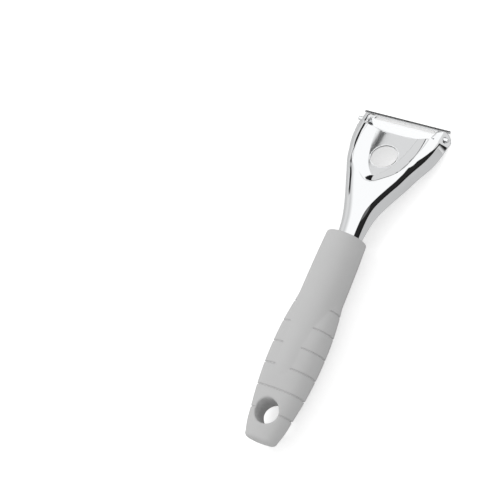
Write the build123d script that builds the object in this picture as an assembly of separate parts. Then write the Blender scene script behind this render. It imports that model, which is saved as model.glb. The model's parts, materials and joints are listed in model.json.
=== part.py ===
from build123d import *
from math import cos, radians, sin, tan
import os

# A vegetable peeler with a swivelling blade held across the end of a stamped steel head.
# Lengths are millimetres and angles are degrees.
# X runs along the blade, Y from the hanging end of the handle to the blade, Z up.
# The peeler lies on its back. While it is modelled, Y = 0 is the rear end of the handle
# and Z = 0 is the centre line of its rear part; at the end everything is moved so that
# the origin is the bottom centre of the whole peeler.

# Handle
handle_length = 117.0
grip_width = 29.2
grip_thickness = 22.3
barrel_width = 24.2
barrel_thickness = 22.7
front_lift = 1.4
front_lift_start = 75.0
rear_rounding = 3.2
front_rounding = 1.3

# Finger grooves round the grip
groove_count = 6
first_groove = 16.0
groove_pitch = 11.95
groove_width = 0.95
groove_depth = 0.65
grip_tail = 12.25

# Hanging hole through the handle
hanging_hole = 13.4
hanging_hole_chamfer = 0.9

# Rigid core inside the soft grip
core_start = 32.0
core_width = 18.6
core_thickness = 16.8
rib_height = 1.1
rib_width = 3.0
core_rib_shares = (0.12, 0.36, 0.6)

# Stamped steel head
sheet = 0.9
plate_length = 66.8
head_width = 45.0
fold_radius = 5.0
front_splay = 36.0
crest_height = 7.3
neck_height = 4.4
head_entry = 4.0
tang_length = 34.0
tang_width = 8.0
tang_hole = 4.0
tang_hole_inset = 7.0
front_arch = 2.2
front_arch_inset = 1.2
front_slope = 17.2
front_run = 24.0

# Pressed recess and round hole in the head
recess_length = 36.5
recess_width = 35.0
recess_wall = 5.2
recess_depth = 1.9
recess_slope = 14.5
head_hole = 15.0
head_hole_setback = 17.2

# Ears that carry the blade
ear_radius = 4.0
pivot_advance = 3.5
ear_rise = 5.4
journal = 2.4
journal_clearance = 0.08
journal_span = 55.6

# Blade
blade_sheet = 0.8
blade_reach = 5.9
blade_back = 4.6
blade_crown = 0.6
blade_front_drop = 1.3
blade_back_drop = 0.3
blade_front_length = 52.6
blade_back_length = 42.0
blade_waist = 38.6
blade_waist_place = 4.2
blade_horn_place = 4.75
cheek_radius = 2.4
slot_length = 37.0
slot_width = 1.8
slot_place = 2.3
edge_bevel = 0.45

# One overrun serves every cut that goes right through
overrun = 3.0

# Sections of the ribbed grip: width and thickness as shares of its largest ones.
# They stand at the rear end, half way to the first groove, at each groove, and at the tail.
grip_rear_shares = (0.62, 0.54)
grip_middle_shares = (0.71, 0.62)
grip_groove_shares = ((0.80, 0.70), (0.915, 0.83), (0.98, 0.925), (1.0, 0.935), (0.975, 0.885), (0.89, 0.755))
grip_tail_shares = (0.76, 0.60)

# Sections of the round barrel: place along the handle, width and thickness
barrel_section_shares = (
    (0.26, 0.80, 0.78),
    (0.35, 0.89, 0.985),
    (0.455, 0.94, 1.0),
    (0.56, 0.97, 0.995),
    (0.67, 1.0, 0.985),
    (0.77, 0.995, 0.975),
    (0.89, 0.97, 0.965),
)
barrel_front_shares = (0.93, 0.95)

# Steps round a rounded end, as shares of a quarter turn
rounding_shares = (0, 0.25, 0.5, 0.75, 1)

# Sections of the head ahead of the handle: place along the plate, half width as a share
# of the head's, flange depth and splay as shares of those at the front.
head_section_shares = (
    (0.0, 0.204, 0.69, 0.72),
    (0.085, 0.213, 0.79, 0.73),
    (0.175, 0.240, 0.89, 0.73),
    (0.265, 0.311, 1.00, 0.68),
    (0.355, 0.427, 1.06, 0.60),
    (0.445, 0.556, 1.08, 0.53),
    (0.535, 0.680, 1.08, 0.50),
    (0.625, 0.791, 1.09, 0.52),
    (0.715, 0.880, 1.09, 0.60),
    (0.80, 0.947, 1.07, 0.72),
    (0.89, 0.985, 1.03, 0.86),
    (1.0, 1.0, 1.0, 1.0),
)

# Crest line of the head between neck and front slope: place along the plate, height share
head_crest_shares = ((0.13, 0.78), (0.28, 0.99), (0.36, 0.965), (0.45, 0.86), (0.535, 0.725))

# Arch outline of the recess: distance from the front edge and half width
recess_outline_shares = ((0.0, 1.0), (0.27, 0.93), (0.5, 0.79), (0.72, 0.58), (0.9, 0.30))


# Places that follow from the sizes above
floor_level = -barrel_thickness / 2
plate_front = handle_length + plate_length
pivot_y = plate_front + pivot_advance
pivot_z = floor_level + ear_radius * cos(radians(front_splay))
front_fall = tan(radians(front_slope))
front_level = pivot_z + ear_rise
front_flange = (front_level - pivot_advance * front_fall - floor_level) / cos(radians(front_splay))
journal_bore = journal + 2 * journal_clearance

# Side view: first sketch axis along Y, second along Z
side_plane = Plane(origin=(0, 0, 0), x_dir=(0, 1, 0), z_dir=(1, 0, 0))


def lift(y):
    """Height of the handle's centre line, which rises a little towards the head."""
    rise_length = handle_length - front_lift_start
    return front_lift * max(0, y - front_lift_start) / rise_length


def blend_table(table, place):
    """Straight-line value between the rows of a table of places and values."""
    for (low, first), (high, last) in zip(table, table[1:]):
        if place <= high:
            break
    return first + (last - first) * (place - low) / (high - low)


def oval(y, width, thickness):
    """Elliptic section of the handle, square to Y."""
    plane = Plane(origin=(0, y, lift(y)), x_dir=(1, 0, 0), z_dir=(0, 1, 0))
    return plane * Ellipse(width / 2, thickness / 2)


def rounded_end(y, inward, rounding, width, thickness):
    """Rounded end of the handle, from its flat face to its full section."""
    rows = []
    for share in rounding_shares:
        turn = radians(90) * share
        place = y + inward * rounding * (1 - cos(turn))
        inset = rounding * (1 - sin(turn))
        rows.append(oval(place, width - 2 * inset, thickness - 2 * inset))
    return loft(rows)


def groove_places():
    return [first_groove + number * groove_pitch for number in range(groove_count)]


def make_grip_body():
    """Flattened grip with its finger grooves."""
    places = [first_groove / 2] + groove_places()
    shares = [grip_middle_shares] + list(grip_groove_shares)
    places.append(places[-1] + grip_tail)
    shares.append(grip_tail_shares)
    rear_width = grip_rear_shares[0] * grip_width
    rear_thickness = grip_rear_shares[1] * grip_thickness
    sections = [oval(rear_rounding, rear_width, rear_thickness)]
    sections += [oval(y, w * grip_width, t * grip_thickness) for y, (w, t) in zip(places, shares)]
    body = loft(sections) + rounded_end(0, 1, rear_rounding, rear_width, rear_thickness)
    for y, (w, t) in zip(groove_places(), grip_groove_shares):
        width = w * grip_width
        thickness = t * grip_thickness
        outside = oval(y, width + 2 * groove_depth, thickness + 2 * groove_depth)
        inside = oval(y, width - 2 * groove_depth, thickness - 2 * groove_depth)
        body -= extrude(outside - inside, groove_width / 2, both=True)
    return body


def make_barrel():
    """Round barrel that comes out of the grip and runs to the head."""
    sections = [
        oval(place * handle_length, w * barrel_width, t * barrel_thickness)
        for place, w, t in barrel_section_shares
    ]
    front_width = barrel_front_shares[0] * barrel_width
    front_thickness = barrel_front_shares[1] * barrel_thickness
    sections.append(oval(handle_length - front_rounding, front_width, front_thickness))
    return loft(sections) + rounded_end(handle_length, -1, front_rounding, front_width, front_thickness)


def make_core_outside():
    """Outer form of the rigid core, with its locking ribs."""
    sections = [oval(y, core_width, core_thickness) for y in (core_start, front_lift_start, handle_length)]
    body = loft(sections, ruled=True)
    for share in core_rib_shares:
        y = core_start + share * (handle_length - core_start)
        rib = oval(y, core_width + 2 * rib_height, core_thickness + 2 * rib_height)
        body += extrude(rib, rib_width / 2, both=True)
    return body


def hanging_hole_tool():
    """Straight bore with a cone at each face of the handle."""
    axis_place = Location((0, first_groove, 0))
    bore = Cylinder(hanging_hole / 2, barrel_thickness + 2 * overrun)
    mouth = hanging_hole / 2 + hanging_hole_chamfer
    lip = grip_groove_shares[0][1] * grip_thickness / 2 - hanging_hole_chamfer
    cone_height = hanging_hole_chamfer + overrun
    cone = Cone(
        hanging_hole / 2,
        mouth + overrun,
        cone_height,
        align=(Align.CENTER, Align.CENTER, Align.MIN),
    )
    upper = Location((0, 0, lip)) * cone
    return axis_place * (bore + upper + upper.mirror(Plane.XY))


def make_grip():
    body = make_grip_body() + make_barrel()
    body -= make_core_outside()
    return body - hanging_hole_tool()


def plate_level(y):
    """Height of the head's top face along the middle."""
    ahead = y - handle_length
    run_start = plate_length - front_run
    if ahead >= run_start:
        return front_level + (plate_length - ahead) * front_fall
    table = [(0, neck_height)]
    table += [(place * plate_length, share * crest_height) for place, share in head_crest_shares]
    table += [(run_start, front_level + front_run * front_fall)]
    return blend_table(table, ahead)


def head_section(y, half_width, depth, splay):
    """Section of the folded sheet: a plate with two flanges that lean outwards."""
    turn = radians(90 - splay)
    top = plate_level(y)

    def side(inset):
        radius = fold_radius - inset
        corner = half_width - inset * tan(turn / 2)
        setback = radius * tan(turn / 2)
        start = (corner - setback, top - inset)
        middle = (
            start[0] + radius * sin(turn / 2),
            start[1] - radius * (1 - cos(turn / 2)),
        )
        end = (corner + setback * cos(turn), top - inset - setback * sin(turn))
        edge_x = half_width + depth * cos(turn) - inset * sin(turn)
        edge_z = top - depth * sin(turn) - inset * cos(turn)
        return start, middle, end, (edge_x, edge_z)

    outer = side(0)
    inner = side(sheet)

    def left(point):
        return (-point[0], point[1])

    pieces = [
        Line(left(outer[0]), outer[0]),
        ThreePointArc(outer[0], outer[1], outer[2]),
        Line(outer[2], outer[3]),
        Line(outer[3], inner[3]),
        Line(inner[3], inner[2]),
        ThreePointArc(inner[2], inner[1], inner[0]),
        Line(inner[0], left(inner[0])),
        ThreePointArc(left(inner[0]), left(inner[1]), left(inner[2])),
        Line(left(inner[2]), left(inner[3])),
        Line(left(inner[3]), left(outer[3])),
        Line(left(outer[3]), left(outer[2])),
        ThreePointArc(left(outer[2]), left(outer[1]), left(outer[0])),
    ]
    plane = Plane(origin=(0, y, 0), x_dir=(1, 0, 0), z_dir=(0, -1, 0))
    return plane * make_face(pieces)


def channel_rows():
    """Rows of the section table from inside the handle to past the ears, and half-way rows."""
    rows = [(handle_length + row[0] * plate_length,) + row[1:] for row in head_section_shares]
    rows.insert(0, (rows[0][0] - head_entry,) + rows[0][1:])
    rows.append((pivot_y + ear_radius + overrun,) + rows[-1][1:])
    full = [rows[0]]
    for low, high in zip(rows, rows[1:]):
        full.append(tuple((first + last) / 2 for first, last in zip(low, high)))
        full.append(high)
    return full


def make_channel():
    """Folded sheet from inside the handle to past the ears."""
    sections = [
        head_section(y, w * head_width / 2, d * front_flange, s * front_splay)
        for y, w, d, s in channel_rows()
    ]
    return loft(sections)


def make_tang():
    """Flat tail of the sheet inside the handle, with a hole that locks it."""
    rear = handle_length - tang_length
    length = tang_length - head_entry / 2
    middle_z = neck_height - sheet / 2
    strip = Box(tang_width, length, sheet, align=(Align.CENTER, Align.MIN, Align.CENTER))
    strip = fillet(strip.edges().filter_by(Axis.Z).group_by(Axis.Y)[0], tang_width / 3)
    hole = Location((0, tang_hole_inset, 0)) * Cylinder(tang_hole / 2, sheet + 2 * overrun)
    return Location((0, rear, middle_z)) * (strip - hole)


def recess_face(grow, drop):
    """Arch outline of the recess, this far below the level of the plate's front edge."""
    half = recess_width / 2 + grow
    length = recess_length + grow
    right = [(w * half, -d * length) for d, w in recess_outline_shares]
    points = right + [(0, -length)] + [(-x, y) for x, y in reversed(right)]
    front = [(-half, 0), (-half, overrun), (half, overrun), (half, 0)]
    outline = [Spline(points), Polyline(front)]
    plane = Plane(
        origin=(0, plate_front, front_level - drop),
        x_dir=(1, 0, 0),
        z_dir=(0, tan(radians(recess_slope)), 1),
    )
    return plane * make_face(outline)


def make_recess(depth):
    """Pressed hollow with sloping walls, its floor this deep at the plate's front edge."""
    wall_run = recess_wall / recess_depth
    floor = recess_face(-recess_wall, depth)
    mouth = recess_face((overrun + depth - recess_depth) * wall_run, -overrun)
    return loft([floor, mouth])


def under_plate_block():
    """Space under the middle of the sheet, which keeps the pressed floor below the plate."""
    stations = [handle_length + row[0] * plate_length for row in head_section_shares]
    stations.append(plate_front + overrun)
    line = [(y, plate_level(y) - sheet / 2) for y in stations]
    low = floor_level - overrun
    outline = line + [(stations[-1], low), (stations[0], low), line[0]]
    return extrude(side_plane * make_face(Polyline(outline)), head_width, both=True)


def front_arch_tool():
    """Shallow arch that cuts the plate's front edge back between the folds."""
    half = head_width / 2 - front_arch_inset
    ahead = plate_front + pivot_advance + ear_radius + 2 * overrun
    outline = [
        ThreePointArc((-half, plate_front), (0, plate_front - front_arch), (half, plate_front)),
        Polyline((half, plate_front), (half, ahead), (-half, ahead), (-half, plate_front)),
    ]
    return extrude(make_face(outline), barrel_thickness, both=True)


def ear_trim_tool():
    """Everything ahead of the plate that is outside the ears' side outline."""
    drop = cos(radians(front_splay))
    round_end = Pos(pivot_y, pivot_z) * Ellipse(ear_radius, ear_radius * drop)
    root = Line((plate_front, front_level), (plate_front, floor_level + sheet))
    keep = make_hull(round_end.edges() + root.edges())
    ahead = pivot_advance + ear_radius + 2 * overrun
    height = 2 * barrel_thickness
    region = Pos(plate_front + ahead / 2, 0) * Rectangle(ahead, height)
    return extrude(side_plane * (region - keep), head_width, both=True)


def make_head():
    """One stamped sheet: tang, neck, flanged plate with its recess, and two ears."""
    head = make_channel()
    head += make_recess(recess_depth + sheet) & under_plate_block()
    head -= make_recess(recess_depth)
    head -= front_arch_tool()
    head -= ear_trim_tool()
    head += make_tang()
    slope = Rotation(-recess_slope, 0, 0)
    hole = Pos(0, -head_hole_setback, 0) * Cylinder(head_hole / 2, barrel_thickness)
    head -= Pos(0, plate_front, front_level) * slope * hole
    bore = Rotation(0, 90, 0) * Cylinder(journal_bore / 2, 2 * head_width)
    return head - Pos(0, pivot_y, pivot_z) * bore


def blade_arc(inset):
    """Curved side of the blade's section, from its back edge to its cutting edge."""
    back = (-blade_back, -blade_back_drop - inset)
    crown = (0, blade_crown - inset)
    front = (blade_reach, -blade_front_drop - inset)
    return ThreePointArc(back, crown, front)


def blade_outline():
    """Blade seen from above: narrow between the ears, with a longer bar ahead of them."""
    right = [
        (blade_back_length / 2, -blade_back - overrun),
        (blade_back_length / 2, -blade_back),
        (blade_waist / 2, blade_waist_place),
        (blade_front_length / 2, blade_horn_place),
        (blade_front_length / 2, blade_reach + overrun),
    ]
    left = [(-x, y) for x, y in reversed(right)]
    return make_face(Polyline(right + left, close=True))


def make_slot():
    """Slot behind the cutting edge, with its front side bevelled to an edge."""
    slot = Pos(0, slot_place) * SlotOverall(slot_length, slot_width)
    straight = extrude(slot, cheek_radius + overrun, both=True)
    back = slot_place + slot_width / 2 - edge_bevel
    front = slot_place + slot_width / 2 + blade_sheet
    bevel_profile = [
        (back, blade_crown),
        (front, blade_crown),
        (back, -blade_sheet - blade_front_drop),
    ]
    cut = Polyline(bevel_profile, close=True)
    bevel = extrude(side_plane * make_face(cut), slot_length / 2 - slot_width, both=True)
    return straight + bevel


def make_blade():
    """Curved slotted blade with an end cheek and a journal at each end, about its own axis."""
    upper = blade_arc(0)
    lower = blade_arc(blade_sheet)
    ends = [Line(upper @ 0, lower @ 0), Line(upper @ 1, lower @ 1)]
    section = side_plane * make_face([upper, lower] + ends)
    strip = extrude(section, blade_front_length / 2, both=True)
    strip &= extrude(blade_outline(), barrel_thickness, both=True)
    strip -= make_slot()
    blade = strip
    for side in (-1, 1):
        inner = blade_back_length / 2 - blade_sheet
        disc = side_plane * Circle(cheek_radius)
        cheek = Pos(side * inner, 0, 0) * extrude(disc, side * blade_sheet)
        below = Pos(0, 0, blade_crown - blade_sheet / 2) * Box(
            blade_front_length,
            barrel_thickness,
            barrel_thickness,
            align=(Align.CENTER, Align.CENTER, Align.MAX),
        )
        length = journal_span / 2 - inner
        pin = Pos(side * (inner + length / 2), 0, 0) * Rotation(0, 90, 0) * Cylinder(journal / 2, length)
        blade += cheek & below
        blade += pin
    return Pos(0, pivot_y, pivot_z) * blade


def make_core(head):
    """Rigid core, moulded round the tang and the root of the head."""
    return make_core_outside() - head


def make_peeler():
    """All pieces, moved so that the origin is the bottom centre of the peeler."""
    head = make_head()
    pieces = {
        "handle_grip": make_grip(),
        "handle_core": make_core(head),
        "head_yoke": head,
        "blade": make_blade(),
    }
    whole = pieces["head_yoke"].bounding_box()
    for piece in pieces.values():
        whole = whole.add(piece.bounding_box())
    centre = whole.center()
    move = Pos(-centre.X, -centre.Y, -whole.min.Z)
    return {name: move * piece for name, piece in pieces.items()}


os.makedirs("parts", exist_ok=True)
for name, piece in make_peeler().items():
    export_step(piece, os.path.join("parts", name + ".step"))
    print(name, len(piece.solids()), round(piece.volume, 1))
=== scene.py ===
"""Vegetable peeler: its looks, built round the frame of handle, stamped head and blade."""
import json
from math import ceil, cos, pi, radians, sin, tan
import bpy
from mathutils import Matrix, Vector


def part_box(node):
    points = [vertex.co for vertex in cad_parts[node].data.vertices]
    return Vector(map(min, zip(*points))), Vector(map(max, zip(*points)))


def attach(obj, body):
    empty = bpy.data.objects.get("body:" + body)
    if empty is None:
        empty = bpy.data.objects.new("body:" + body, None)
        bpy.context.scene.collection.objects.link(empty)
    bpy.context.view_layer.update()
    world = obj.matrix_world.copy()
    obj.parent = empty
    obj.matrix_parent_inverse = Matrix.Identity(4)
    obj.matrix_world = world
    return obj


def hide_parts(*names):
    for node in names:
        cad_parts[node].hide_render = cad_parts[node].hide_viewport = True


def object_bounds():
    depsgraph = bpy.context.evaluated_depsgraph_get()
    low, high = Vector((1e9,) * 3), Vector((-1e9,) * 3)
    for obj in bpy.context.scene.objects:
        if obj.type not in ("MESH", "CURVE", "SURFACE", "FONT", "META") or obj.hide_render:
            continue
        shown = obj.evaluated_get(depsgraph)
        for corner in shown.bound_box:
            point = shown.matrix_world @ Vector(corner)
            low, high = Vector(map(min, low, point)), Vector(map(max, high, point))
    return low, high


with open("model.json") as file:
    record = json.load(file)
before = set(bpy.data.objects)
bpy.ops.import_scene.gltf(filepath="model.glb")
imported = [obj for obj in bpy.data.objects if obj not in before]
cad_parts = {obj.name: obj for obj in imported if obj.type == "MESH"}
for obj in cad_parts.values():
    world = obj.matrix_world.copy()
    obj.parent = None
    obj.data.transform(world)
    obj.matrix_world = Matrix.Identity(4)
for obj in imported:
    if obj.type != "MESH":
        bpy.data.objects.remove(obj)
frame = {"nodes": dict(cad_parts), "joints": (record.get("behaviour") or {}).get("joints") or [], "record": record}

from types import SimpleNamespace

import bmesh
import bpy
import numpy as np
from bpy.props import FloatProperty, FloatVectorProperty, IntProperty, PointerProperty
from mathutils import Matrix, Vector
from mathutils.geometry import delaunay_2d_cdt

bl_info = {
    "name": "Vegetable peeler",
    "version": (1, 0, 0),
    "blender": (4, 5, 0),
    "location": "View3D > Sidebar > Peeler",
    "description": "Builds a peeler with a ribbed grip, a stamped head and a swivelling blade",
    "category": "Add Mesh",
}

MM = 0.001

# Places taken from the frame, in millimetres: the handle's rear end and axis, the blade's pivot,
# and the lowest and highest level of the solids
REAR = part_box("handle_grip")[0][1] / MM
AXIS = frame["record"]["mounts"][0]["pos_m"][2] / MM
PIVOT = [value / MM for value in frame["joints"][0]["pos_m"]]
CAD_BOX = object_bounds()
LOWEST, HIGHEST = (corner[2] / MM for corner in CAD_BOX)

# The numbers from here to the settings are in millimetres, shares or radians

# Handle: place along it, width and thickness as shares of the grip's or the barrel's
GRIP_SECTIONS = (
    (3.2, 0.62, 0.54),
    (8.0, 0.71, 0.62),
    (16.0, 0.80, 0.70),
    (27.95, 0.915, 0.83),
    (39.9, 0.98, 0.925),
    (51.85, 1.0, 0.935),
    (63.8, 0.975, 0.885),
    (75.75, 0.89, 0.755),
    (88.0, 0.76, 0.60),
)
BARREL_SECTIONS = (
    (30.4, 0.80, 0.78),
    (41.0, 0.89, 0.985),
    (53.2, 0.94, 1.0),
    (65.5, 0.97, 0.995),
    (78.4, 1.0, 0.985),
    (90.1, 0.995, 0.975),
    (104.1, 0.97, 0.965),
    (115.7, 0.93, 0.95),
)
# How full the corners of the grip's section are: 2 is an ellipse
SQUARENESS = 2.5
# Beyond their sections the grip and the barrel sink into each other by this much per millimetre
GRIP_SINK, BARREL_SINK = 0.5, 0.3
# The centre line is straight up to here and rises from here to the front
LIFT_START = 75.0
# Rings of the skin: how many points each has, and how far apart they are away from the grooves
RING_POINTS, RING_STEP = 232, 0.55
# Rings across a groove, as shares of its half width
GROOVE_RINGS = (-1.15, -0.95, -0.75, -0.55, -0.3, 0, 0.3, 0.55, 0.75, 0.95, 1.15)
# Height of the low dome on the hanging end, and its rings as shares of its radius
DOME = 0.5
DOME_RINGS = (0.06, 0.2, 0.4, 0.6, 0.8, 0.95)
# The hollow for the core ends here; its rings stand at these places further forward
HOLLOW_END = 32.0
HOLLOW_RINGS = (75, 33, 32.2)

# Head: place along the plate, half width, flange depth and splay as shares of those at the front
HEAD_SECTIONS = (
    (0.0, 0.204, 0.69, 0.72),
    (0.085, 0.213, 0.79, 0.73),
    (0.175, 0.240, 0.89, 0.73),
    (0.265, 0.311, 1.00, 0.68),
    (0.355, 0.427, 1.06, 0.60),
    (0.445, 0.556, 1.08, 0.53),
    (0.535, 0.680, 1.08, 0.50),
    (0.625, 0.791, 1.09, 0.52),
    (0.715, 0.880, 1.09, 0.60),
    (0.80, 0.947, 1.07, 0.72),
    (0.89, 0.985, 1.03, 0.86),
    (1.0, 1.0, 1.0, 1.0),
)
# The neck's rear end, inside the handle, and the neck's places and heights over the axis
NECK_END = -4.0
NECK = ((-6.0, 3.5), (0.0, 4.4))
# Crest line of the head: place along the plate and height as a share of the crest's
CREST = ((0.13, 0.78), (0.28, 0.99), (0.36, 0.965), (0.45, 0.86), (0.535, 0.725))
# The front of the plate falls evenly by this slope, over this length
PLATE_SLOPE = tan(radians(17.2))
PLATE_RUN = 24.0
# The front edge's arch ends this far inside the folds' corners and goes back this far in the middle
ARCH_INSET = 1.2
ARCH = 2.2
# Part of the circle round the pivot that is the ear's rim, as angles from straight ahead
EAR_RIM = (-2.35, 1.15)
# Radius of the ears' bores
BORE = 1.28
# Arch outline of the recess: distance from the front edge and half width, as shares
RECESS_OUTLINE = ((0.0, 1.0), (0.27, 0.93), (0.5, 0.79), (0.72, 0.58), (0.9, 0.30))
# and it runs on past the front edge by this much
RECESS_OVERRUN = 4.0
# Lean of the recess's floor
RECESS_TILT = radians(14.5)

# Blade: heights of its back and front edge over the pivot
BLADE_EDGES = (-0.3, -1.3)
# Places ahead of the pivot where the front bar widens from the waist, and its corners' rounding
BAR_START, BAR_CORNER, BAR_FULL = 4.2, 4.75, 4.95
BAR_ROUNDING = 0.45
# The strip is ground this thin at the slot and has its full thickness this far ahead of it
EDGE_THICKNESS, EDGE_WIDTH = 0.14, 0.8

# Stage: place and size of the lamps, in metres
KEY_PLACE, KEY_SIZE = (-0.9, 0.25, 1.1), (0.5, 0.9)
FILL_PLACE, FILL_SIZE = (0.9, -0.6, 0.9), (0.8, 0.8)
# The photograph's camera: its place in metres, and the directions of its right, up and back
CAMERA_PLACE = (0.33729, -0.16873, 0.68827)
CAMERA_AXES = (
    (0.85882, 0.39017, -0.33195),
    (-0.26915, 0.89503, 0.35564),
    (0.43587, -0.21608, 0.87369),
)
# The photograph's width and the camera's focal length in pixels, and the shift of the frame
PHOTO_WIDTH, FOCAL_LENGTH = 498, 1479.67
SHIFT = (-0.1651, 0.0511)
SENSOR = 36.0

# The formulas below are lists of steps: a name, an operation and its values. A value in words is
# the result of that name. A value in brackets rises softly from 0, where the named result is at
# the first number or result given, to 1, where it is at the second.

# How far the grip is pressed in at each point, from how far it is from the nearest groove's middle
GROOVE_STEPS = (
    ("start", "ADD", "Hanging End", "First Groove"),
    ("past start", "SUBTRACT", "along", "start"),
    ("pitches", "DIVIDE", "past start", "Pitch"),
    ("nearest", "ROUND", "pitches"),
    ("last", "SUBTRACT", "Count", 1.0),
    ("up to last", "MINIMUM", "nearest", "last"),
    ("number", "MAXIMUM", "up to last", 0.0),
    ("middle", "MULTIPLY_ADD", "number", "Pitch", "start"),
    ("beside", "SUBTRACT", "along", "middle"),
    ("away", "ABSOLUTE", "beside"),
    ("half", "MULTIPLY", "Width", 0.5),
    ("bottom", "MULTIPLY", "half", 0.3),
    ("pressed", "MULTIPLY", ("away", "half", "bottom"), "share"),
    ("inwards", "MULTIPLY", "Depth", -1.0),
    ("amount", "MULTIPLY", "pressed", "inwards"),
)
# Radius of a journal along it, rounded at its outer end, and half a turn for the second one
JOURNAL_STEPS = (
    ("to end", "SUBTRACT", "Outer End", "along"),
    ("domes", "DIVIDE", "to end", "Dome"),
    ("off pole", "MAXIMUM", "domes", 0.02),
    ("left", "MINIMUM", "off pole", 1.0),
    ("gone", "SUBTRACT", 1.0, "left"),
    ("square", "MULTIPLY", "gone", "gone"),
    ("rest", "SUBTRACT", 1.0, "square"),
    ("round", "SQRT", "rest"),
    ("size", "MULTIPLY", "Radius", "round"),
    ("turn", "MULTIPLY", "index", pi),
)
# What polished metal sees round it. x, y and z are a direction's parts to the right, ahead and up.
STUDIO_STEPS = (
    # A dark wall: a raised strip on the left, a low strip ahead, and a tall one on the right
    ("left strip", "MULTIPLY", ("x", -0.5, -0.6), ("y", 0.06, 0.2)),
    ("right strip", "MULTIPLY", ("x", 0.36, 0.5), ("y", 0.54, 0.47)),
    ("low foot", "MULTIPLY_ADD", "left strip", 0.18, 0.07),
    ("foot", "MULTIPLY_ADD", "right strip", -0.04, "low foot"),
    ("low top", "MULTIPLY_ADD", ("x", 0.1, 0.2), -0.23, 0.28),
    ("left top", "MULTIPLY_ADD", "left strip", 0.23, "low top"),
    ("top", "MULTIPLY_ADD", "right strip", 0.71, "left top"),
    ("over foot", "SUBTRACT", "z", "foot"),
    ("under top", "SUBTRACT", "top", "z"),
    ("strip height", "MULTIPLY", ("over foot", -0.02, 0.02), ("under top", -0.02, 0.02)),
    ("strip width", "MAXIMUM", "left strip", ("x", -0.7, -0.6)),
    ("wall", "MULTIPLY", "strip height", "strip width"),
    # A grey lamp housing hangs ahead on the left, with a dark gap along its left side
    ("across", "MULTIPLY_ADD", "z", 0.367, "x"),
    ("housing level", "MULTIPLY", ("z", 0.545, 0.56), ("z", 0.66, 0.64)),
    ("housing place", "MULTIPLY", "housing level", ("x", -0.2, -0.28)),
    ("housing", "MULTIPLY", "housing place", ("across", -0.212, -0.2115)),
    ("gap width", "MULTIPLY", ("across", -0.2165, -0.216), ("across", -0.2115, -0.212)),
    ("gap", "MULTIPLY", "gap width", "housing place"),
    ("dark", "MAXIMUM", "wall", "gap"),
    # The ceiling is white and fades to grey on the left, where it also starts higher up
    ("open ceiling", "MULTIPLY_ADD", ("x", -0.8, -0.42), 0.46, -0.08),
    ("ceiling", "MULTIPLY_ADD", "housing", -0.36, "open ceiling"),
    ("ceiling foot", "MULTIPLY_ADD", ("x", -0.37, -0.3), -0.18, 0.47),
    ("over room", "SUBTRACT", "z", "ceiling foot"),
    # Below it the room is pale grey
    ("room", "MULTIPLY_ADD", ("over room", -0.03, 0.03), "ceiling", 0.86),
    ("light left", "MULTIPLY_ADD", "dark", -0.98, 1.0),
    ("level", "MULTIPLY", "room", "light left"),
    # The camera sees plain white, and matt surfaces are lit by three quarters of it
    ("plain level", "MULTIPLY_ADD", "camera ray", 0.25, 0.75),
)


def length(name, default_mm, description):
    """A size that a user can change, given in millimetres and kept in metres."""
    return FloatProperty(
        name=name, description=description, default=default_mm * MM, unit="LENGTH", precision=5
    )


def power(name, default_watts, description):
    """Power of a lamp in watts."""
    return FloatProperty(
        name=name, description=description, default=default_watts, min=0, unit="POWER"
    )


def colour(name, default_hex, description):
    """A colour that a user can change, given as an sRGB hex value."""
    value = linear(default_hex)
    return FloatVectorProperty(
        name=name, description=description, default=value, subtype="COLOR", size=4, min=0.0, max=1.0
    )


def linear(hex_text):
    """Linear colour with full alpha from an sRGB hex value."""
    parts = [int(hex_text[i : i + 2], 16) / 255 for i in (1, 3, 5)]
    parts = [c / 12.92 if c <= 0.04045 else ((c + 0.055) / 1.055) ** 2.4 for c in parts]
    return (*parts, 1.0)


class HandleSettings(bpy.types.PropertyGroup):
    length: length("Length", 117.0, "From the hanging end to the front face")
    grip_width: length("Grip width", 29.2, "Width of the ribbed grip")
    grip_thickness: length("Grip thickness", 22.3, "Thickness of the ribbed grip")
    barrel_width: length("Barrel width", 24.2, "Width of the round barrel")
    barrel_thickness: length("Barrel thickness", 22.7, "Thickness of the round barrel")
    front_lift: length("Front lift", 1.4, "Rise of the centre line at the front")
    rear_rounding: length("Rear rounding", 3.2, "Rounding of the hanging end")
    front_rounding: length("Front rounding", 1.3, "Rounding of the front edge")
    groove_count: IntProperty(
        name="Grooves", description="Finger grooves round the grip", default=6, min=0
    )
    first_groove: length("First groove", 16.0, "From the hanging end to the first groove")
    groove_pitch: length("Groove pitch", 11.95, "From groove to groove")
    groove_width: length("Groove width", 1.15, "Width of a finger groove at its mouth")
    groove_depth: length("Groove depth", 0.6, "Depth of a finger groove")
    hole: length("Hanging hole", 13.4, "Diameter of the hanging hole")
    hole_rounding: length("Hole rounding", 0.9, "Rounded mouth of the hanging hole")
    core_width: length("Core width", 18.6, "Width of the rigid core")
    core_thickness: length("Core thickness", 16.8, "Thickness of the rigid core")
    grip_colour: colour("Grip", "#C6C6C6", "Colour of the soft grip")
    core_colour: colour("Core", "#3A3A3B", "Colour of the rigid core")


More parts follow.
